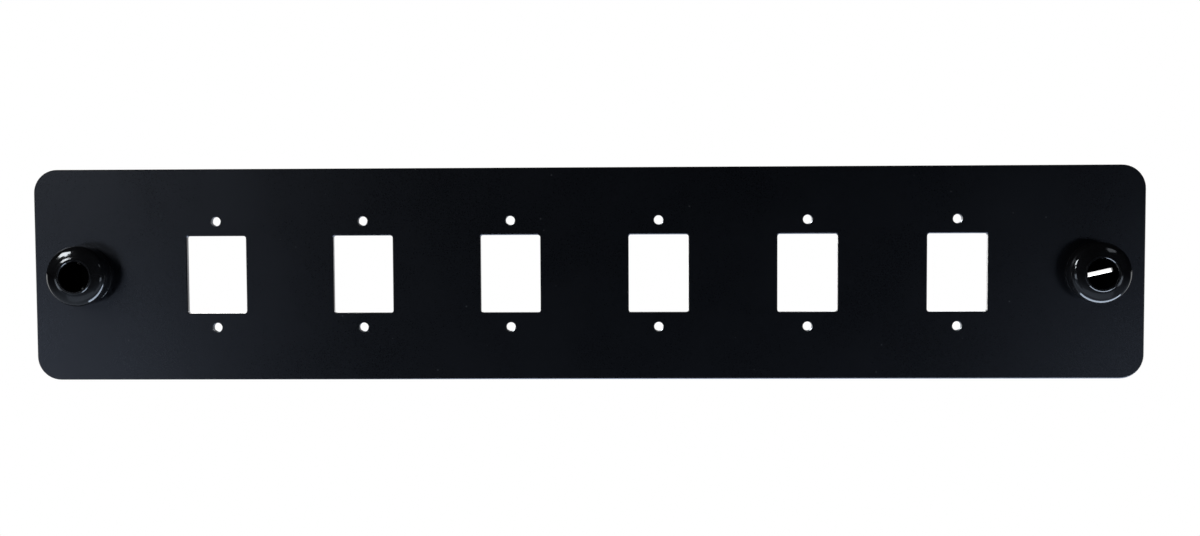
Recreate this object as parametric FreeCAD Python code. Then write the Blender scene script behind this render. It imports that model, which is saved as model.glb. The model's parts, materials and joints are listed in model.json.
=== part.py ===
"""Fibre adapter plate: a flat steel plate with six adapter openings and a push-pull latch at each end.

Each latch is two mouldings. A flanged grommet snaps into the plate and has four legs behind it. A plunger slides in
the grommet. Pushed home, its bulb holds the legs spread behind the frame that the plate is fastened to.

Frame: X runs along the plate, Z is up, and the front faces -Y. The origin is the middle of the rear face, which seats
against the frame. All lengths are in millimetres.
"""

import FreeCAD
import Part

import math
import os

# Plate
plate_length = 187.2
plate_height = 35.8
plate_thickness = 1.2
plate_corner_radius = 4.0
plate_edge_bevel = 0.15

# Adapter ports: an opening with a screw hole above and below it, as many as fit clear of the latches
port_pitch = 25.0
port_margin = 4.0
port_width = 10.1
port_height = 13.1
port_corner_radius = 0.4
screw_spacing = 18.0
screw_hole_diameter = 1.65

# Where the latches sit, how far each is turned in its hole as seen from the front, and how far a knob pulls out
latch_inset = 8.4
latch_turns = {"left": 97.0, "right": 12.6}
latch_travel = 5.0

# Running clearance on the radius, and the gap left where a stop is reached
running_clearance = 0.1
bulb_clearance = 0.05
stop_gap = 0.2
seat_gap = 0.05

# Grommet
latch_hole_diameter = 6.4
flange_diameter = 10.0
flange_thickness = 1.2
flange_bevel = 0.3
bead_overlap = 0.12
bead_land = 0.25
bead_ramp = 0.5
frame_thickness = 2.0
frame_play = 0.1
leg_swell = 0.8
leg_land = 1.2
leg_tip_taper = 2.7
leg_tip_radius = 2.7
leg_slot_width = 1.4
split_slot_end_width = 3.0
bore_cone_end = 0.3
bore_mouth_radius = 2.6
chamber_relief = 0.2

# Plunger shank
shank_diameter = 3.8
slit_width = 0.65
slit_length = 4.9
prong_gap_end = 2.9
bulb_diameter = 4.5
bulb_seat_depth = 1.9
bulb_land = 1.1
bulb_taper = 1.4
bulb_tip_radius = 1.75
key_inset = 0.35

# Plunger knob: a shallow dome with a rounded rim, and a raised lip round the recess in its middle
knob_overhang = 0.1
knob_height = 3.6
knob_foot_bevel = 0.2
dome_drop = 0.6
rim_radius = 1.25
crown_run = 0.6
crown_drop = 0.1
crown_radius = 4.0
knob_wall = 1.0
hollow_depth = 1.6
post_wall = 0.65
lip_wall = 0.45
lip_rise = 0.1
lip_bevel = 0.1
recess_diameter = 5.1
recess_depth = 3.0
recess_floor_bevel = 0.6

latch_reach = plate_length / 2 - latch_inset
port_room = 2 * (latch_reach - flange_diameter / 2 - port_margin) - port_width
port_count = 1 + int(port_room // port_pitch)
barrel_radius = latch_hole_diameter / 2 - running_clearance
bead_radius = latch_hole_diameter / 2 + bead_overlap
swell_radius = barrel_radius + leg_swell
shank_radius = shank_diameter / 2
bore_radius = shank_radius + running_clearance
pad_radius = bulb_diameter / 2 + bulb_clearance
chamber_radius = pad_radius + chamber_relief
key_width = leg_slot_width - 2 * running_clearance
key_reach = barrel_radius - key_inset
knob_radius = flange_diameter / 2 + knob_overhang
recess_radius = recess_diameter / 2
post_radius = recess_radius + post_wall
lip_radius = recess_radius + lip_wall

# Heights along a latch's axis are measured from the plate's front face, positive towards the front
rear_face = -plate_thickness
bead_top = rear_face - seat_gap
bead_end = bead_top - bead_land
leg_root = rear_face - frame_thickness - frame_play
swell_top = leg_root - leg_swell
swell_end = swell_top - leg_land
leg_tip = swell_end - leg_tip_taper
bulb_top = leg_tip + bulb_seat_depth
neck_end = bulb_top + latch_travel + stop_gap
bulb_end = bulb_top - bulb_land
plunger_tip = bulb_end - bulb_taper
pad_top = bulb_top + chamber_relief
knob_foot = flange_thickness + seat_gap
knob_top = knob_foot + knob_height
lip_top = knob_top + lip_rise
recess_floor = lip_top - recess_depth


def rounded_edges(corners):
    """Edges of a closed outline in the XZ plane: corners are (x, z, radius), and radius 0 leaves a sharp corner."""
    points = [FreeCAD.Vector(x, 0, z) for x, z, _ in corners]
    spans = []
    arcs = []
    for index, (_, _, radius) in enumerate(corners):
        corner = points[index]
        if radius == 0:
            spans.append((corner, corner))
            continue
        back = (points[index - 1] - corner).normalize()
        ahead = (points[(index + 1) % len(points)] - corner).normalize()
        half_angle = back.getAngle(ahead) / 2
        setback = radius / math.tan(half_angle)
        inward = (back + ahead).normalize()
        centre = corner + inward * (radius / math.sin(half_angle))
        start = corner + back * setback
        end = corner + ahead * setback
        arcs.append(Part.Arc(start, centre - inward * radius, end).toShape())
        spans.append((start, end))
    lines = []
    for index, (_, leave) in enumerate(spans):
        arrive = spans[(index + 1) % len(spans)][0]
        if (arrive - leave).Length > 1e-6:
            lines.append(Part.LineSegment(leave, arrive).toShape())
    return lines + arcs


def rounded_face(corners):
    """A flat face in the XZ plane with rounded corners."""
    return Part.Face(Part.Wire(Part.__sortEdges__(rounded_edges(corners))))


def rectangle(width, height, radius, x=0.0):
    """A rounded rectangle in the XZ plane, about (x, 0)."""
    signs = [(-1, -1), (1, -1), (1, 1), (-1, 1)]
    return rounded_face([(x + sx * width / 2, sz * height / 2, radius) for sx, sz in signs])


def turned(corners):
    """A solid of revolution about Z from an outline of (radius, height, rounding) corners."""
    return rounded_face(corners).revolve(FreeCAD.Vector(0, 0, 0), FreeCAD.Vector(0, 0, 1), 360)


def box_about(width, depth, bottom, top):
    """A box about the Z axis: width along X, depth along Y."""
    corner = FreeCAD.Vector(-width / 2, -depth / 2, bottom)
    return Part.makeBox(width, depth, top - bottom, corner)


def flared_slot(length, width, end_width, top, end):
    """A slot cutter along X through the Z axis that widens evenly from its top down to its end."""
    corners = [(-end_width / 2, end, 0), (end_width / 2, end, 0), (width / 2, top, 0), (-width / 2, top, 0)]
    slot = rounded_face(corners).extrude(FreeCAD.Vector(0, length, 0))
    slot.translate(FreeCAD.Vector(0, -length / 2, 0))
    slot.rotate(FreeCAD.Vector(0, 0, 0), FreeCAD.Vector(0, 0, 1), 90)
    return slot


def drilled(radius, x, z):
    """A cutter along Y that runs past both faces of the plate."""
    start = FreeCAD.Vector(x, -2 * plate_thickness, z)
    return Part.makeCylinder(radius, 3 * plate_thickness, start, FreeCAD.Vector(0, 1, 0))


def port_centres():
    """The X position of each port, evenly spaced about the middle of the plate."""
    first = -port_pitch * (port_count - 1) / 2
    return [first + port_pitch * index for index in range(port_count)]


def latch_centre(side):
    """The X position of one latch's axis."""
    return latch_reach if side == "right" else -latch_reach


def on_plate_face(edge):
    """True for an edge that lies in the plate's front or rear face."""
    box = edge.BoundBox
    return box.YLength < 1e-6 and min(abs(box.YMin), abs(box.YMin + plate_thickness)) < 1e-6


def make_plate():
    """The blanked plate, with a small bevel round every rim, and its screw holes drilled last."""
    sheet = rectangle(plate_length, plate_height, plate_corner_radius)
    plate = sheet.extrude(FreeCAD.Vector(0, -plate_thickness, 0))
    blanked = []
    drills = []
    for x in port_centres():
        opening = rectangle(port_width, port_height, port_corner_radius, x)
        opening.translate(FreeCAD.Vector(0, plate_thickness, 0))
        blanked.append(opening.extrude(FreeCAD.Vector(0, -3 * plate_thickness, 0)))
        for z in (-screw_spacing / 2, screw_spacing / 2):
            drills.append(drilled(screw_hole_diameter / 2, x, z))
    for side in latch_turns:
        blanked.append(drilled(latch_hole_diameter / 2, latch_centre(side), 0))
    plate = plate.cut(blanked)
    rims = [edge for edge in plate.Edges if on_plate_face(edge)]
    return plate.makeChamfer(plate_edge_bevel, rims).cut(drills)


def make_grommet():
    """The flanged grommet with its legs spread, about Z with the plate's front face at Z 0."""
    body = turned([
        (0, flange_thickness, 0),
        (flange_diameter / 2 - flange_bevel, flange_thickness, 0),
        (flange_diameter / 2, flange_thickness - flange_bevel, 0),
        (flange_diameter / 2, 0, 0),
        (barrel_radius, 0, 0),
        (barrel_radius, bead_top, 0),
        (bead_radius, bead_top, 0),
        (bead_radius, bead_end, 0),
        (barrel_radius, bead_end - bead_ramp, 0),
        (barrel_radius, leg_root, 0),
        (swell_radius, swell_top, 0),
        (swell_radius, swell_end, 0),
        (leg_tip_radius, leg_tip, 0),
        (0, leg_tip, 0),
    ])
    bore = turned([
        (0, flange_thickness, 0),
        (bore_mouth_radius, flange_thickness, 0),
        (bore_radius, bore_cone_end, 0),
        (bore_radius, neck_end, 0),
        (chamber_radius, neck_end, 0),
        (chamber_radius, pad_top, 0),
        (pad_radius, bulb_top, 0),
        (pad_radius, leg_tip, 0),
        (0, leg_tip, 0),
    ])
    split_slots = [
        box_about(2 * barrel_radius, leg_slot_width, rear_face, flange_thickness),
        flared_slot(2 * swell_radius, leg_slot_width, split_slot_end_width, rear_face, leg_tip),
    ]
    key_slots = [
        box_about(leg_slot_width, 2 * barrel_radius, leg_tip, bore_cone_end),
        box_about(leg_slot_width, 2 * swell_radius, leg_tip, rear_face),
    ]
    return body.cut([bore] + split_slots + key_slots).removeSplitter()


def make_plunger():
    """The knob and its split shank in one, about Z like the grommet and pushed home."""
    bulb_radius = bulb_diameter / 2
    body = turned([
        (0, plunger_tip, 0),
        (bulb_tip_radius, plunger_tip, 0),
        (bulb_radius, bulb_end, 0),
        (bulb_radius, bulb_top, 0),
        (shank_radius, bulb_top, 0),
        (shank_radius, knob_foot, 0),
        (knob_radius - knob_foot_bevel, knob_foot, 0),
        (knob_radius, knob_foot + knob_foot_bevel, 0),
        (knob_radius, knob_top - dome_drop, rim_radius),
        (lip_radius + crown_run, knob_top - crown_drop, crown_radius),
        (lip_radius, knob_top, 0),
        (lip_radius - lip_bevel, lip_top, 0),
        (recess_radius + lip_bevel, lip_top, 0),
        (recess_radius, lip_top - lip_bevel, 0),
        (recess_radius, recess_floor + recess_floor_bevel, 0),
        (recess_radius - recess_floor_bevel, recess_floor, 0),
        (0, recess_floor, 0),
    ])
    hollow = turned([
        (post_radius, knob_foot, 0),
        (knob_radius - knob_wall, knob_foot, 0),
        (knob_radius - knob_wall, knob_foot + hollow_depth, 0),
        (post_radius, knob_foot + hollow_depth, 0),
    ])
    keys = box_about(key_width, 2 * key_reach, bulb_end, bulb_top)
    floor_slit = box_about(slit_length, slit_width, knob_foot, lip_top)
    prong_gap = flared_slot(bulb_diameter, slit_width, prong_gap_end, knob_foot, plunger_tip)
    return body.fuse(keys).cut([hollow, floor_slit, prong_gap]).removeSplitter()


def place_latch(shape, side):
    """Turns a latch piece in its hole, faces it to the front and moves it to its end of the plate."""
    placed = shape.copy()
    origin = FreeCAD.Vector(0, 0, 0)
    placed.rotate(origin, FreeCAD.Vector(0, 0, 1), latch_turns[side])
    placed.rotate(origin, FreeCAD.Vector(1, 0, 0), 90)
    placed.translate(FreeCAD.Vector(latch_centre(side), rear_face, 0))
    return placed


def main():
    """Builds every piece and writes one file for each."""
    os.makedirs("parts", exist_ok=True)
    pieces = {"adapter_plate": make_plate()}
    for side in latch_turns:
        pieces["latch_grommet_" + side] = place_latch(make_grommet(), side)
        pieces["latch_plunger_" + side] = place_latch(make_plunger(), side)
    for name, shape in pieces.items():
        shape.exportStep(os.path.join("parts", name + ".step"))
        print(name, "solids", len(shape.Solids), "valid", shape.isValid(), "volume", round(shape.Volume, 2))


main()
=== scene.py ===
"""Looks of the fibre adapter plate: satin powder coat, glossy nylon latches and tapped screw holes."""

import json
import math

import bmesh
import bpy
from mathutils import Matrix, Vector


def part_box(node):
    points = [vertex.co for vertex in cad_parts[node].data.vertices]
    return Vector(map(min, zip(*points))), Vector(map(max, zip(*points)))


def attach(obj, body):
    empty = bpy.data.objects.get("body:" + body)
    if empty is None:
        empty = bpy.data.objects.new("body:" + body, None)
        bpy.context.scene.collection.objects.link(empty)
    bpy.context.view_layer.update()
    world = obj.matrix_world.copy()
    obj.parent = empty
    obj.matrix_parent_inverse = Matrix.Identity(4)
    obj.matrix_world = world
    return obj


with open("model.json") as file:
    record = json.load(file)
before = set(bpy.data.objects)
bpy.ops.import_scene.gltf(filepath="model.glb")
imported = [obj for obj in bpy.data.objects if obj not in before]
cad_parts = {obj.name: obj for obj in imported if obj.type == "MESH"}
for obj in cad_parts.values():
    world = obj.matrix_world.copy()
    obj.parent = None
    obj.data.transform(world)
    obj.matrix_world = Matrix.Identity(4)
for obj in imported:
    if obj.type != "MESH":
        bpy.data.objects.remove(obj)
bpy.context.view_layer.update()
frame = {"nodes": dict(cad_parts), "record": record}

MM = 0.001

# From the frame: the plate's front lower corner, and the mounts by name
plate_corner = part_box("adapter_plate")[0]
mounts = {mount["name"]: mount for mount in frame["record"]["mounts"]}

# Camera: where it stands, how it is turned and its lens, from the photograph's perspective
camera_place = Vector((9.65, -249.10, 13.72)) * MM
camera_turn = (87.05, 0.27, 1.61)
camera_lens = 44.2
camera_sensor = 36.0
camera_start = 10.0 * MM

# Floor: how far below the plate it lies, its size, colour and finish
floor_drop = 230.0 * MM
floor_size = 24.0
floor_colour = (0.42, 0.46, 0.53, 1)
floor_roughness = 0.85
floor_specular = 0.1

# White backdrop: its share in the floor right under the plate, the two distances between which it takes over the
# whole floor, and how far behind the plate reflections begin to show it
white = (1, 1, 1, 1)
white_share_near = 0.5
white_reaches = (0.12, 0.38)
white_depths = (0.1, 0.5)

# World: its dim light, and how straight to the rear a reflection must head to meet the white backdrop
world_colour = (0.006, 0.007, 0.009, 1)
white_headings = (0.88, 0.94)

# Screw threads: the coarse pitch of the screw size, the height and side of a ridge, and as many turns as fit in
# the plate's thickness
thread_pitch = 0.4 * MM
thread_height = 0.06 * MM
thread_side = 0.14 * MM
thread_turns = 2.4
thread_steps = 24

# How far each latch stands from the plate's middle
latch_x = mounts["right_latch"]["pos_m"][0]

# The recess in a knob, darkened with painted shade: its floor and mouth over the plate's front, and its radius
recess_floor = 1.9 * MM
recess_mouth = 4.75 * MM
recess_reach = 2.62 * MM

# The left latch's slit, darkened with painted shade too: its turn, its half widths at two depths from the
# plate's front, and its radius
slit_turn = math.radians(97.0)
slit_depths = (-1.25 * MM, 8.6 * MM)
slit_halves = (0.345 * MM, 1.47 * MM)
slit_reach = 3.4 * MM

# Noise stays nearly always between these two values
noise_range = (0.3, 0.7)

# Powder coat: the noise of its grain, flow and slow drift, its dust, then its colours and finish
grain_noise = {"scale": 5200.0, "detail": 2.0, "roughness": 0.6}
flow_noise = {"scale": 900.0, "detail": 3.0}
drift_noise = {"scale": 45.0, "detail": 3.0}
dust_scale = 260.0
dust_radii = (0.015, 0.045)
dust_share = 0.5
drift_share = 0.4
coat_dark = (0.0006, 0.0007, 0.0010, 1)
coat_light = (0.0015, 0.0017, 0.0023, 1)
coat_drift = (0.0020, 0.0022, 0.0029, 1)
dust_colour = (0.080, 0.085, 0.095, 1)
coat_specular = 0.45
coat_shine = (0.71, 0.80, 1.0, 1)
coat_roughness = (0.275, 0.315)
grain_roughness = (-0.03, 0.03)
coat_relief = {"Strength": 0.22, "Distance": 0.03 * MM}
flow_height = 0.7
grain_height = 0.5
dust_height = 0.6

# Nylon: the noise of its ripple and handling marks, then its colours and finish
ripple_noise = {"scale": 420.0, "detail": 2.0}
marks_noise = {"scale": 2600.0, "detail": 4.0, "roughness": 0.65}
marks_range = (0.35, 0.75)
nylon_dark = (0.0030, 0.0031, 0.0035, 1)
nylon_light = (0.0056, 0.0058, 0.0065, 1)
# Painted shade: the near-black colour given to the knob recesses and the left slit's walls
nylon_painted_shade = (0.0006, 0.0007, 0.0009, 1)
nylon_specular = 0.5
nylon_shine = (0.84, 0.91, 1.0, 1)
nylon_roughness = (0.07, 0.13)
# Roughness added where the shade is painted
painted_shade_roughness = 0.5
nylon_ior = 1.53
nylon_relief = {"Strength": 0.05, "Distance": 0.04 * MM}
ripple_height = 0.5
marks_height = 0.05

# Cut steel: the noise of its tool marks, its colours and its finish
steel_noise = {"scale": 9000.0, "detail": 3.0}
steel_dark = (0.30, 0.33, 0.38, 1)
steel_light = (0.46, 0.49, 0.54, 1)
steel_roughness = (0.28, 0.42)

# What the lamps face
middle = (0, 0, 0)
left_end = (-0.085, 0, 0)
right_end = (0.085, 0, 0)

# Colours of the lamps, from a warm window to cool cards
window_light = (1.0, 0.98, 0.93)
warm_light = (1.0, 0.98, 0.95)
plain_light = (1.0, 1.0, 1.0)
soft_light = (0.96, 0.98, 1.0)
card_light = (0.90, 0.94, 1.0)
low_light = (0.85, 0.91, 1.0)
rim_light = (0.80, 0.88, 1.0)

# Every lamp: its place, what it faces, its width and height in metres, its watts and its colour
lamps = {
    # The window's large and small panes at the upper left
    "lamp_left": ((-0.384, -0.315, 0.245), left_end, 0.175, 0.125, 1.4, window_light),
    "lamp_pane": ((-0.328, -0.42, 0.108), left_end, 0.084, 0.035, 0.2, window_light),
    # A faint lamp at the upper right
    "lamp_right": ((0.33, -0.37, 0.245), right_end, 0.10, 0.07, 0.03, plain_light),
    # Cards low in front, whose blurred reflections lighten the coat at both ends
    "card_left": ((-0.47, -0.69, -0.14), middle, 0.32, 0.14, 0.40, card_light),
    "card_right": ((0.45, -0.70, -0.14), middle, 0.3, 0.12, 0.24, card_light),
    # Cards below the plate, which draw the crescents on the lower rims of the knobs
    "card_low": ((0.0, -0.24, -0.16), middle, 0.5, 0.08, 0.05, low_light),
    "card_rim": ((0.145, -0.01, -0.21), (0.14, -0.01, 0), 0.12, 0.40, 1.3, rim_light),
    # Lamps above the floor and behind the plate
    "lamp_above": ((0.0, 0.55, 0.75), (0, 0.15, -0.12), 0.7, 0.5, 2.8, plain_light),
    "lamp_rear": ((0.40, 0.75, 0.35), middle, 0.6, 0.5, 6.0, soft_light),
    "lamp_rear_low": ((-0.42, 0.80, 0.05), middle, 0.4, 0.4, 6.0, warm_light),
}


def shader(name):
    """A new material, its node tree and its Principled shader."""
    material = bpy.data.materials.new(name)
    material.use_nodes = True
    tree = material.node_tree
    return material, tree, tree.nodes["Principled BSDF"]


def plug(tree, socket, value):
    """Links another node's output to the socket, or sets the socket's own value."""
    if isinstance(value, bpy.types.NodeSocket):
        tree.links.new(value, socket)
    else:
        socket.default_value = value


def feed(tree, node, **sockets):
    """Links or sets the node's inputs by their names."""
    for name, value in sockets.items():
        plug(tree, node.inputs[name.replace("_", " ")], value)


def add_node(tree, kind, settings=None, **sockets):
    """A node of that kind, with its settings made and its inputs linked or set."""
    node = tree.nodes.new(kind)
    for name, value in (settings or {}).items():
        setattr(node, name, value)
    feed(tree, node, **sockets)
    return node


def maths(tree, operation, first, second=0.0):
    """The result of one Math node."""
    node = add_node(tree, "ShaderNodeMath", {"operation": operation})
    plug(tree, node.inputs[0], first)
    plug(tree, node.inputs[1], second)
    return node.outputs["Value"]


def spread(tree, value, low, high, to_low, to_high):
    """The value mapped from one range to another, held at its ends."""
    node = add_node(
        tree,
        "ShaderNodeMapRange",
        {"clamp": True},
        Value=value,
        From_Min=low,
        From_Max=high,
        To_Min=to_low,
        To_Max=to_high,
    )
    return node.outputs["Result"]


def tint(tree, factor, first, second):
    """A colour between the first and the second."""
    node = add_node(tree, "ShaderNodeMix", {"data_type": "RGBA"})
    for index, value in ((0, factor), (6, first), (7, second)):
        plug(tree, node.inputs[index], value)
    return node.outputs[2]


def mixed(tree, factor, first, second):
    """The output of a shader that goes from the first to the second."""
    node = tree.nodes.new("ShaderNodeMixShader")
    for index, value in enumerate((factor, first.outputs[0], second.outputs[0])):
        plug(tree, node.inputs[index], value)
    return node.outputs[0]


def noise(tree, place, scale, detail, roughness=0.55):
    """Noise of that many cells a metre."""
    node = add_node(tree, "ShaderNodeTexNoise", Vector=place, Scale=scale, Detail=detail, Roughness=roughness)
    return node.outputs["Fac"]


def relief(tree, height, settings):
    """The normal of a surface with that height, from the strength and distance in settings."""
    return add_node(tree, "ShaderNodeBump", Height=height, **settings).outputs["Normal"]


def object_place(tree):
    """The point on the object, in its own metres."""
    return tree.nodes.new("ShaderNodeTexCoord").outputs["Object"]


def radius(tree, first, second):
    """The distance from the origin of a plane, from its two coordinates."""
    flat = add_node(tree, "ShaderNodeCombineXYZ", X=first, Y=second)
    reach = add_node(tree, "ShaderNodeVectorMath", {"operation": "LENGTH"}, Vector=flat.outputs["Vector"])
    return reach.outputs["Value"]


def powder_coat():
    """Fine satin powder coat, black with a blue cast: grain, sparse dust specks and slow changes of gloss."""
    material, tree, principled = shader("black_powder_coat")
    place = object_place(tree)
    grain = noise(tree, place, **grain_noise)
    flow = noise(tree, place, **flow_noise)
    drift = noise(tree, place, **drift_noise)
    cells = add_node(tree, "ShaderNodeTexVoronoi", Vector=place, Scale=dust_scale).outputs["Distance"]
    dust = spread(tree, cells, *dust_radii, 1.0, 0.0)

    coat = tint(tree, spread(tree, grain, *noise_range, 0.0, 1.0), coat_dark, coat_light)
    coat = tint(tree, spread(tree, drift, *noise_range, 0.0, drift_share), coat, coat_drift)
    coat = tint(tree, maths(tree, "MULTIPLY", dust, dust_share), coat, dust_colour)

    slow_gloss = spread(tree, drift, *noise_range, *coat_roughness)
    fine_gloss = spread(tree, grain, *noise_range, *grain_roughness)

    height = maths(tree, "MULTIPLY", flow, flow_height)
    height = maths(tree, "ADD", height, maths(tree, "MULTIPLY", grain, grain_height))
    height = maths(tree, "ADD", height, maths(tree, "MULTIPLY", dust, dust_height))

    feed(
        tree,
        principled,
        Base_Color=coat,
        Specular_IOR_Level=coat_specular,
        Specular_Tint=coat_shine,
        Roughness=maths(tree, "ADD", slow_gloss, fine_gloss),
        Normal=relief(tree, height, coat_relief),
    )
    return material


def painted_shade_parts(tree, place):
    """Where shade is painted: 1 in the recess of each knob and on the walls of the left one's slit, and 0
    elsewhere.
    """
    x, y, z = add_node(tree, "ShaderNodeSeparateXYZ", Vector=place).outputs
    reach = radius(tree, maths(tree, "SUBTRACT", maths(tree, "ABSOLUTE", x), latch_x), z)
    depth = maths(tree, "SUBTRACT", y, plate_corner.y)

    over_floor = maths(tree, "LESS_THAN", depth, -recess_floor)
    under_mouth = maths(tree, "GREATER_THAN", depth, -recess_mouth)
    recess = maths(tree, "LESS_THAN", reach, recess_reach)
    recess = maths(tree, "MULTIPLY", recess, maths(tree, "MULTIPLY", over_floor, under_mouth))

    across = maths(tree, "MULTIPLY", maths(tree, "ADD", x, latch_x), math.sin(slit_turn))
    across = maths(tree, "SUBTRACT", across, maths(tree, "MULTIPLY", z, math.cos(slit_turn)))
    half = spread(tree, depth, *slit_depths, *slit_halves)
    slit = maths(tree, "LESS_THAN", maths(tree, "ABSOLUTE", across), half)
    slit = maths(tree, "MULTIPLY", slit, maths(tree, "GREATER_THAN", depth, -recess_floor))
    slit = maths(tree, "MULTIPLY", slit, maths(tree, "LESS_THAN", reach, slit_reach))
    return maths(tree, "MAXIMUM", recess, slit)


def glossy_nylon():
    """Glossy moulded black nylon with the faint ripple of a moulding and fine handling marks, and painted shade,
    near black and without gloss, in the knob recesses and the left slit.
    """
    material, tree, principled = shader("black_nylon")
    place = object_place(tree)
    ripple = noise(tree, place, **ripple_noise)
    marks = noise(tree, place, **marks_noise)
    painted_shade = painted_shade_parts(tree, place)

    body = tint(tree, spread(tree, ripple, *noise_range, 0.0, 1.0), nylon_dark, nylon_light)
    gloss = spread(tree, marks, *marks_range, *nylon_roughness)
    height = maths(tree, "MULTIPLY", ripple, ripple_height)
    height = maths(tree, "ADD", height, maths(tree, "MULTIPLY", marks, marks_height))

    feed(
        tree,
        principled,
        # Painted shade: the recesses and the left slit are drawn near black and without gloss
        Base_Color=tint(tree, painted_shade, body, nylon_painted_shade),
        Specular_IOR_Level=spread(tree, painted_shade, 0.0, 1.0, nylon_specular, 0.0),
        Specular_Tint=nylon_shine,
        Roughness=maths(tree, "ADD", gloss, maths(tree, "MULTIPLY", painted_shade, painted_shade_roughness)),
        IOR=nylon_ior,
        Normal=relief(tree, height, nylon_relief),
    )
    return material


def tapped_steel():
    """Bright cut steel of the tapped threads, with fine tool marks."""
    material, tree, principled = shader("tapped_steel")
    marks = noise(tree, object_place(tree), **steel_noise)
    feed(
        tree,
        principled,
        Base_Color=tint(tree, marks, steel_dark, steel_light),
        Metallic=1.0,
        Roughness=spread(tree, marks, *noise_range, *steel_roughness),
    )
    return material


def finish_nodes():
    """Gives the plate its coat and every piece of the latches its nylon."""
    coat = powder_coat()
    nylon = glossy_nylon()
    for name, node in frame["nodes"].items():
        node.data.materials.clear()
        node.data.materials.append(coat if name == "adapter_plate" else nylon)


def screw_holes():
    """The place across and up the plate, and the radius, of every screw hole, from the plate's mounts."""
    for mount in mounts.values():
        if mount["kind"] == "bolt_pattern":
            x, _, z = mount["pos_m"]
            half = mount["dims"]["spacing_y_mm"] / 2 * MM
            for side in (-1, 1):
                yield x, z + side * half, mount["dims"]["hole_r_mm"] * MM


def cut_thread(shape, x, z, hole_radius):
    """One ridge of thread, spun up a screw hole from its front mouth."""
    crest = Vector((x + hole_radius + thread_side - thread_height, plate_corner.y + thread_side, z))
    place = Matrix.Translation(crest) @ Matrix.Rotation(math.radians(90), 4, "Z")
    ridge = bmesh.ops.create_circle(shape, cap_ends=True, segments=3, radius=thread_side, matrix=place)
    profile = ridge["verts"]
    edges = {edge for vert in profile for edge in vert.link_edges}
    steps = int(thread_turns * thread_steps)
    bmesh.ops.spin(
        shape,
        geom=profile + list(profile[0].link_faces) + list(edges),
        cent=(x, 0, z),
        axis=(0, 1, 0),
        dvec=Vector((0, thread_pitch / thread_steps, 0)),
        angle=2 * math.pi * steps / thread_steps,
        steps=steps,
        use_duplicate=False,
    )


def add_mesh(name, shape, material):
    """A new object with that shape and material, at the origin."""
    mesh = bpy.data.meshes.new(name)
    shape.to_mesh(mesh)
    shape.free()
    mesh.materials.append(material)
    piece = bpy.data.objects.new(name, mesh)
    bpy.context.scene.collection.objects.link(piece)
    return piece


def add_threads():
    """The ridges of thread in all the screw holes, riding on the plate."""
    shape = bmesh.new()
    for x, z, hole_radius in screw_holes():
        cut_thread(shape, x, z, hole_radius)
    bmesh.ops.recalc_face_normals(shape, faces=shape.faces)
    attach(add_mesh("screw_threads", shape, tapped_steel()), "plate")


def shows_backdrop(tree, behind):
    """1 where the backdrop shows: to the camera, and behind the plate in gloss and clear things too."""
    path = tree.nodes.new("ShaderNodeLightPath")
    mirrored = maths(tree, "MAXIMUM", path.outputs["Is Glossy Ray"], path.outputs["Is Transmission Ray"])
    mirrored = maths(tree, "MULTIPLY", mirrored, behind)
    return maths(tree, "MAXIMUM", path.outputs["Is Camera Ray"], mirrored)


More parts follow.
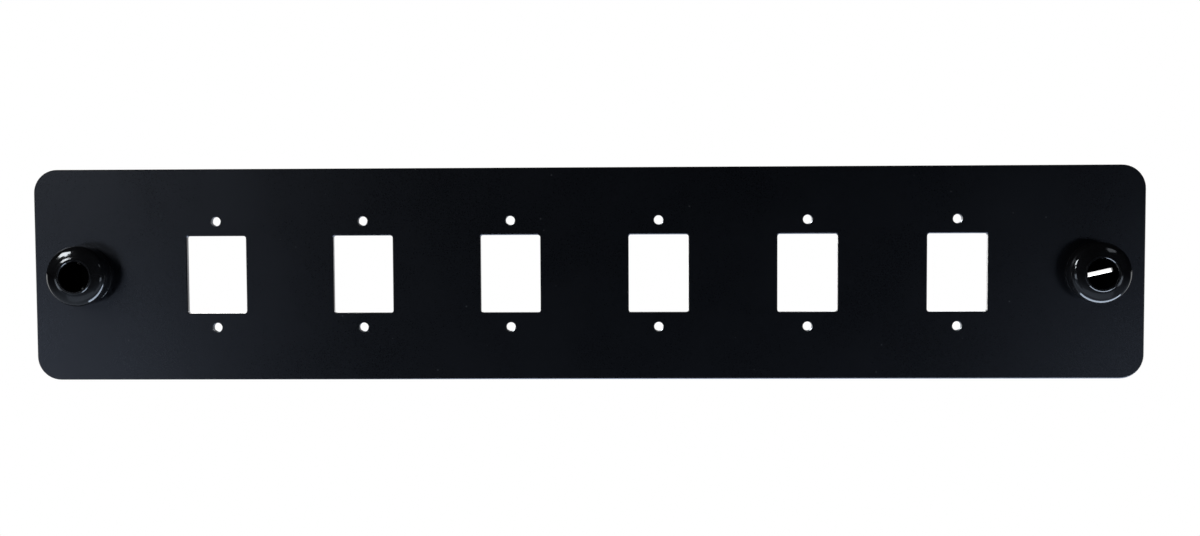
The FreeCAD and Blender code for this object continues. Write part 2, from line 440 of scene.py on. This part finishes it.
def pale_floor():
    """A pale floor that turns white far from the plate."""
    material, tree, principled = shader("pale_floor")
    feed(
        tree,
        principled,
        Base_Color=floor_colour,
        Roughness=floor_roughness,
        Specular_IOR_Level=floor_specular,
    )
    x, y, _ = add_node(tree, "ShaderNodeSeparateXYZ", Vector=object_place(tree)).outputs
    far = spread(tree, radius(tree, x, y), *white_reaches, white_share_near, 1.0)
    behind = spread(tree, y, *white_depths, 0.0, 1.0)
    share = maths(tree, "MULTIPLY", far, shows_backdrop(tree, behind))
    backdrop = add_node(tree, "ShaderNodeEmission", Color=white, Strength=1.0)
    plug(tree, tree.nodes["Material Output"].inputs["Surface"], mixed(tree, share, principled, backdrop))
    return material


def make_floor():
    """The floor below the plate, which keeps the plate's shadow."""
    shape = bmesh.new()
    bmesh.ops.create_grid(shape, x_segments=1, y_segments=1, size=floor_size / 2)
    bmesh.ops.translate(shape, verts=shape.verts, vec=(0, 0, plate_corner.z - floor_drop))
    add_mesh("floor", shape, pale_floor())


def add_lamp(name, place, aim, width, height, power, colour):
    """A soft rectangular lamp at place, facing aim."""
    data = bpy.data.lights.new(name, "AREA")
    data.shape = "RECTANGLE"
    data.size = width
    data.size_y = height
    data.energy = power
    data.color = colour
    lamp = bpy.data.objects.new(name, data)
    lamp.location = place
    lamp.rotation_euler = (Vector(aim) - Vector(place)).to_track_quat("-Z", "Y").to_euler()
    lamp.visible_camera = False
    bpy.context.scene.collection.objects.link(lamp)


def light_scene():
    """All the lamps, and a dim world that shows white to the camera."""
    for name, values in lamps.items():
        add_lamp(name, *values)
    world = bpy.data.worlds.new("studio")
    bpy.context.scene.world = world
    world.use_nodes = True
    tree = world.node_tree
    dim = tree.nodes["Background"]
    feed(tree, dim, Color=world_colour)
    backdrop = add_node(tree, "ShaderNodeBackground", Color=white, Strength=1.0)
    direction = tree.nodes.new("ShaderNodeTexCoord").outputs["Generated"]
    heading = add_node(tree, "ShaderNodeSeparateXYZ", Vector=direction).outputs["Y"]
    share = shows_backdrop(tree, spread(tree, heading, *white_headings, 0.0, 1.0))
    plug(tree, tree.nodes["World Output"].inputs["Surface"], mixed(tree, share, dim, backdrop))


def place_camera():
    """The camera at the photograph's place and angle."""
    data = bpy.data.cameras.new("camera")
    data.sensor_width = camera_sensor
    data.lens = camera_lens
    data.clip_start = camera_start
    camera = bpy.data.objects.new("camera", data)
    camera.location = camera_place
    camera.rotation_euler = [math.radians(angle) for angle in camera_turn]
    bpy.context.scene.collection.objects.link(camera)
    bpy.context.scene.camera = camera


place_camera()
finish_nodes()
add_threads()
make_floor()
light_scene()
bpy.context.scene.view_settings.view_transform = "Standard"
